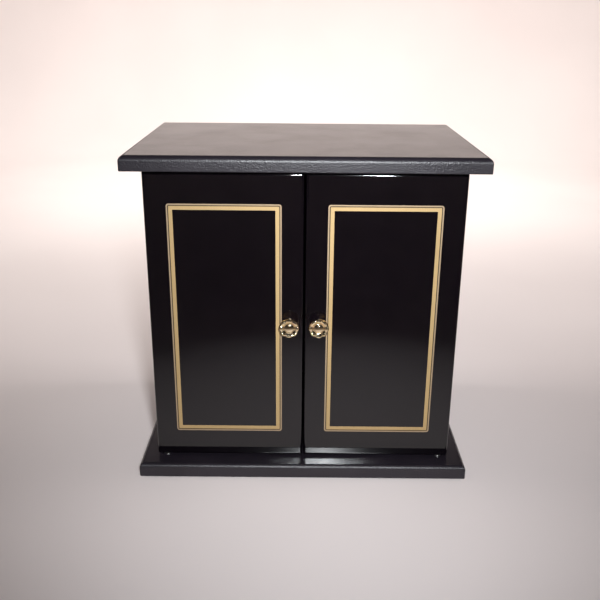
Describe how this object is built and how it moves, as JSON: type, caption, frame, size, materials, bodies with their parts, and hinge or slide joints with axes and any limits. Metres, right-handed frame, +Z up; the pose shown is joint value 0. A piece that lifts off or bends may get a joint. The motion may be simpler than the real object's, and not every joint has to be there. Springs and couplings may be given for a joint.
{
  "type": "household altar cabinet",
  "caption": "Black-lacquered table-top altar cabinet with paired pivot-hung doors, gold border lines, brass knobs and overhanging top and base boards.",
  "frame": {"origin": "middle of the underside of the base board", "axes": "+X to the right of someone facing the doors, +Y from the doors to the back, +Z up"},
  "size_m": [0.35, 0.24, 0.345],
  "materials": {
    "satin_lacquer": "black lacquer on board, satin with a fine texture",
    "dull_lacquer": "thin matt black paint on sheet wood",
    "gloss_lacquer": "polished black lacquer with painted gold border lines",
    "polished_brass": "polished",
    "pin_steel": "plain turned"
  },
  "bodies": {
    "cabinet": {"base_board": "satin_lacquer", "top_board": "satin_lacquer", "back_panel": "dull_lacquer", "left_side_panel": "satin_lacquer", "right_side_panel": "satin_lacquer", "left_door_lower_pin": "pin_steel", "left_door_upper_pin": "pin_steel", "right_door_lower_pin": "pin_steel", "right_door_upper_pin": "pin_steel"},
    "left_leaf": {"left_door": "gloss_lacquer", "left_knob": "polished_brass"},
    "right_leaf": {"right_door": "gloss_lacquer", "right_knob": "polished_brass"}
  },
  "joints": [
    {"name": "left_door_pivot", "type": "hinge", "parent": "cabinet", "child": "left_leaf", "pos_m": [-0.1485, -0.0935, 0.17], "axis": [0, 0, -1], "range_deg": [0, 180]},
    {"name": "right_door_pivot", "type": "hinge", "parent": "cabinet", "child": "right_leaf", "pos_m": [0.1485, -0.0935, 0.17], "axis": [0, 0, 1], "range_deg": [0, 180]}
  ]
}
